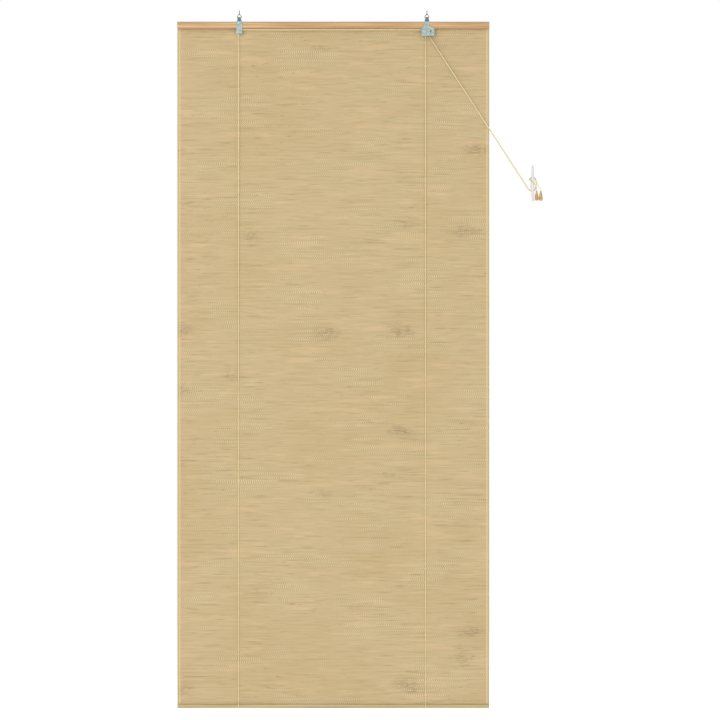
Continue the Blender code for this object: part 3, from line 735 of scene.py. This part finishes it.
def head_runs(side, y):
    """From the knot to the drop at the back, and from the drop in front over the sheaves to the guide pin."""
    x = CORD_X[side]
    knot_low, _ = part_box(f"cord_knot_{side}")
    back = tube(f"back_{side}", [(x, BACK_Y, knot_low.z), (x, BACK_Y, UPPER_HIGH.z)], CORD_R, LIFT_CORD)
    path = [Vector((x, y, UPPER_HIGH.z)), Vector((x, y, RIGHT_AXLE.z - 4 * MM))]
    if side == "left":
        path += [Vector((px, y, pz)) for px, pz in arc((LEFT_AXLE.x, LEFT_AXLE.z), PITCH_R, 180, 90, 10)]
        path += [Vector((px, y, pz)) for px, pz in arc((RIGHT_AXLE.x, RIGHT_AXLE.z), PITCH_R, 90, 0, 10)]
    else:
        path += [Vector((px, y, pz)) for px, pz in arc((RIGHT_AXLE.x, RIGHT_AXLE.z), PITCH_R, 180, 0, 16)]
    front = tube(f"front_{side}", path + exit_bend(y), CORD_R, LIFT_CORD)
    made = join(f"lift_cord_{side}_head", [back, front])
    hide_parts(f"lift_cord_{side}")
    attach(made, "headrail")


def foot_turn(side):
    """Round the foot batten, from the back of the mat to its front."""
    x, foot_z = CORD_X[side], mat_foot - 0.15 * MM
    turn_y = foot_low.y - CORD_GAP - CORD_R
    route = [(BACK_Y, levels[-1]), (BACK_Y, foot_z + 3 * MM)]
    route += arc((BACK_Y - FOOT_BEND, foot_z + 0.8 * MM), FOOT_BEND, 0, -90, 6)
    route += arc((turn_y + FOOT_BEND, foot_z + 0.8 * MM), FOOT_BEND, -90, -180, 6)
    route += [(turn_y, foot_high.z), (turn_y + FOOT_BEND, foot_high.z + 4 * MM), (NEAR_Y, levels[-1])]
    return tube(f"foot_turn_{side}", [(x, y, z) for y, z in route], CORD_R, LIFT_CORD)


def knot(side):
    """An overhand knot that stops the cord at the back of the headrail."""
    node = f"cord_knot_{side}"
    low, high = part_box(node)
    centre, size = (low + high) / 2, high - low
    reach = Vector((size.x / 2 - 0.5 * MM, size.y / 2 - 0.8 * MM, size.z / 2 - 0.5 * MM))
    path = []
    for k in range(KNOT_STEPS):
        t = 2 * math.pi * k / KNOT_STEPS
        u, v, w = math.sin(t) + 2 * math.sin(2 * t), math.cos(t) - 2 * math.cos(2 * t), -math.sin(3 * t)
        path.append(centre + Vector((u / 3 * reach.x, w * reach.y, v / 3 * reach.z)))
    made = tube(f"knot_{side}", path, 0.75 * MM, LIFT_CORD, closed=True)
    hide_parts(node)
    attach(made, "headrail")


head_runs("left", FRONT_Y)
head_runs("right", REAR_Y)
# The upper stretch only shortens, so its points lie far apart. Those at the strips lie close.
upper_runs = runs("lift_cords_upper", UPPER_HIGH.z, LEADER_HIGH.z, 60 * MM)
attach(upper_runs, "headrail")
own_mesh(upper_runs)
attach(runs("lift_cords_leader", LEADER_HIGH.z, levels[0], 0.01), "carrier")
for k, name in enumerate(STRIPS):
    stretch = runs(f"lift_cords_{name[-2:]}", levels[k], levels[k + 1], 5 * MM)
    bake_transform(stretch)
turns = join("lift_cords_foot", [foot_turn("left"), foot_turn("right")])
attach(turns, bodies[-1])
knot("left")
knot("right")


# ---------------------------------------------------------------- hooks and rings
HOOK_POINT = [(1.0, 0.0), (0.95, 0.6), (0.6, 1.8), (0.12, 2.6)]  # (radius, height) in millimetres
THREAD_TURNS = 6
THREAD_STEPS = 14  # in each turn


def screw_hook(side):
    """Open screw hook: wire bent to a bowl, with a cut thread on the shank."""
    node = f"screw_hook_{side}"
    low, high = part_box(node)
    x, wire = (low.x + high.x) / 2, 1.0 * MM
    bowl_r = (high.y - low.y) / 2 - wire
    centre_y, centre_z = (low.y + high.y) / 2, low.z + wire + bowl_r
    shank_y = centre_y + bowl_r
    shank = [(shank_y, z * MM) for z in (5.5, 3, 0.5, -2)]
    bowl = arc((centre_y, centre_z), bowl_r, 0, -180, 20)
    path = [(x, y, z) for y, z in shank + bowl + [(centre_y - bowl_r, centre_z + 2.1 * MM)]]
    pieces = [tube(f"{node}_wire", path, wire, WIRE, sides=16)]
    point = [(radius * MM, height * MM) for radius, height in HOOK_POINT]
    pieces.append(turned(f"{node}_point", point, (x, shank_y, 5.3 * MM), WIRE, 16))
    helix = []
    for k in range(THREAD_TURNS * THREAD_STEPS + 1):
        angle, rise = 2 * math.pi * k / THREAD_STEPS, k / (THREAD_TURNS * THREAD_STEPS)
        # The thread narrows over the last fifth of its height, towards the point.
        radius = 0.98 * MM * (1 - 0.35 * max(0.0, rise - 0.8) * 5)
        height = (0.4 + 6.4 * rise) * MM
        helix.append((x + radius * math.cos(angle), shank_y + radius * math.sin(angle), height))
    pieces.append(tube(f"{node}_thread", helix, 0.24 * MM, WIRE, sides=6))
    made = join(f"{node}_steel", pieces)
    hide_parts(node)
    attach(made, "building")


def hanging_ring(side):
    """Triangular wire ring, butt-jointed in the middle of its base."""
    node = f"hanging_ring_{side}"
    low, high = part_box(node)
    x, y, wire = (low.x + high.x) / 2, (low.y + high.y) / 2, 0.9 * MM
    apex, base, half = high.z - wire, low.z + wire, 7.1 * MM
    corner_r = 2.0 * MM
    slope = math.degrees(math.atan2(apex - base, half))
    outline = arc((x + half - corner_r, base + corner_r), corner_r, -90, 90 - slope, 10)
    outline += arc((x, apex - corner_r), corner_r, 90 - slope, 90 + slope, 10)
    outline += arc((x - half + corner_r, base + corner_r), corner_r, 90 + slope, 270, 10)
    made = tube(f"{node}_wire", [(px, y, pz) for px, pz in outline], wire, WIRE, sides=16, closed=True)
    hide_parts(node)
    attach(made, "headrail")


for side in ("left", "right"):
    screw_hook(side)
    hanging_ring(side)


# ---------------------------------------------------------------- cleat
HORN_Y = -8.6 * MM


def cleat():
    """Moulded cleat: a rounded base on the wall, a post and two tapered horns of oval section."""
    low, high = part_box("cleat")
    x, z, half = CLEAT.x, CLEAT.z, (high.z - low.z) / 2
    width = (high.x - low.x) / 2
    profile = [(1.6 * MM, half), (2.6 * MM, half - 0.6 * MM), (3.3 * MM, half - 2 * MM)]
    profile += [(3.9 * MM, half - 8 * MM), (4.5 * MM, half - 22 * MM), (5.2 * MM, 14 * MM), (width, 7 * MM)]
    profile += [(r, -h) for r, h in reversed(profile)]
    horns = turned("cleat_horns", profile, (x, HORN_Y, z), PLASTIC, 32)
    active(horns)
    bpy.ops.object.mode_set(mode="EDIT")
    bpy.ops.mesh.select_all(action="SELECT")
    bpy.ops.transform.resize(value=(1, 0.7, 1), center_override=(x, HORN_Y, z))
    bpy.ops.object.mode_set(mode="OBJECT")
    post_low, post_high = (x - 5.0 * MM, -9 * MM, z - 8.5 * MM), (x + 5.0 * MM, 15 * MM, z + 8.5 * MM)
    base_low, base_high = (x - width, 12 * MM, z - 15 * MM), (x + width, high.y, z + 15 * MM)
    post = rounded_block("post", post_low, post_high, 2.2 * MM, PLASTIC)
    base = rounded_block("base", base_low, base_high, 1.2 * MM, PLASTIC)
    for part in (post, base):
        union = horns.modifiers.new("join", "BOOLEAN")
        union.operation = "UNION"
        union.solver = "EXACT"
        union.object = part
        apply_all(horns)
    for part in (post, base):
        bpy.data.objects.remove(part)
    active(horns)
    bpy.ops.object.shade_smooth_by_angle(angle=math.radians(50))
    horns.name = horns.data.name = "cleat_moulding"
    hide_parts("cleat")
    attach(horns, "building")


cleat()

# ---------------------------------------------------------------- carried-over metal pieces
for name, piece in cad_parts.items():
    if piece.hide_render:
        continue
    look = WIRE if name.startswith(("mat_staple_", "cleat_screw_")) else ZINC
    if name.startswith("sheave_") and "axle" not in name or name == "lock_roller":
        look = BRASS
    piece.data.materials.clear()
    piece.data.materials.append(look)
